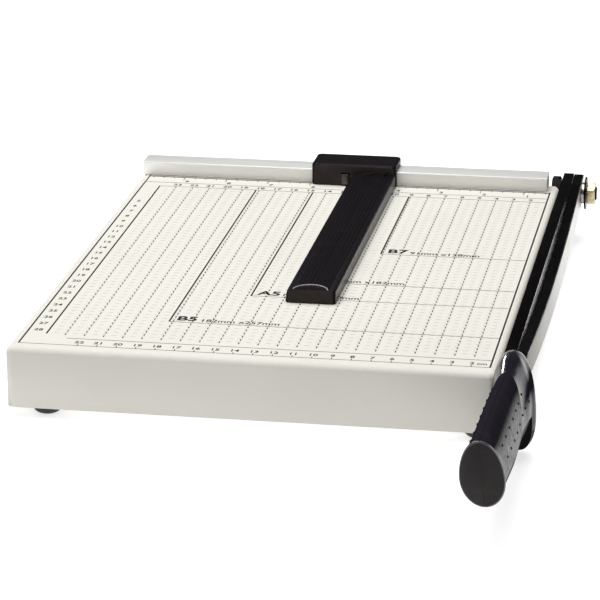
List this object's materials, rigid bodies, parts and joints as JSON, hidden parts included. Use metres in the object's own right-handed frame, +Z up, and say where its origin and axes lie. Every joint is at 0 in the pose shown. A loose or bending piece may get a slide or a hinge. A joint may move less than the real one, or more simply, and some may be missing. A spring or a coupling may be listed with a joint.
{
  "type": "guillotine paper cutter",
  "caption": "Desktop guillotine paper cutter: folded steel table with a grid, rear ruler rail with a sliding stop, and a hinged curved knife with a moulded handle.",
  "frame": {"origin": "centre of the footprint, on the surface the feet stand on", "axes": "+X towards the knife side, +Y towards the ruler rail at the back, +Z up"},
  "size_m": [0.2706, 0.5136, 0.0622],
  "materials": {
    "painted_table": "satin",
    "rail_aluminium": "satin",
    "black_steel": "gloss",
    "ground_steel": "brushed",
    "zinc_plate": "satin",
    "spring_steel": "satin",
    "black_plastic": "matte",
    "foot_rubber": "matte"
  },
  "bodies": {
    "base": {"table_tray": "painted_table", "foot_front_left": "foot_rubber", "foot_front_right": "foot_rubber", "foot_rear_left": "foot_rubber", "foot_rear_right": "foot_rubber", "ruler_rail": "rail_aluminium", "rail_screw_1": "zinc_plate", "rail_screw_2": "zinc_plate", "rail_screw_3": "zinc_plate", "bed_knife": "black_steel", "bed_knife_screw_1": "zinc_plate", "bed_knife_screw_2": "zinc_plate", "bed_knife_screw_3": "zinc_plate", "bed_knife_screw_4": "zinc_plate", "pivot_bolt": "black_steel", "spring_washer": "spring_steel", "flat_washer": "black_steel", "pivot_nut": "zinc_plate"},
    "knife_arm": {"upper_knife": "ground_steel", "handle_shell_left": "black_plastic", "handle_shell_right": "black_plastic", "handle_screw_1": "zinc_plate", "handle_screw_2": "zinc_plate"},
    "size_stop": {"stop_head": "black_plastic", "stop_arm": "black_plastic", "stop_clip": "spring_steel", "stop_screw_1": "zinc_plate", "stop_screw_2": "zinc_plate"}
  },
  "joints": [
    {"name": "knife_hinge", "type": "hinge", "parent": "base", "child": "knife_arm", "pos_m": [0.12333, 0.23681, 0.0302], "axis": [-1, 0, 0], "range_deg": [0, 75]},
    {"name": "stop_slide", "type": "slide", "parent": "base", "child": "size_stop", "axis": [1, 0, 0], "range_m": [-0.101, 0.086]}
  ]
}
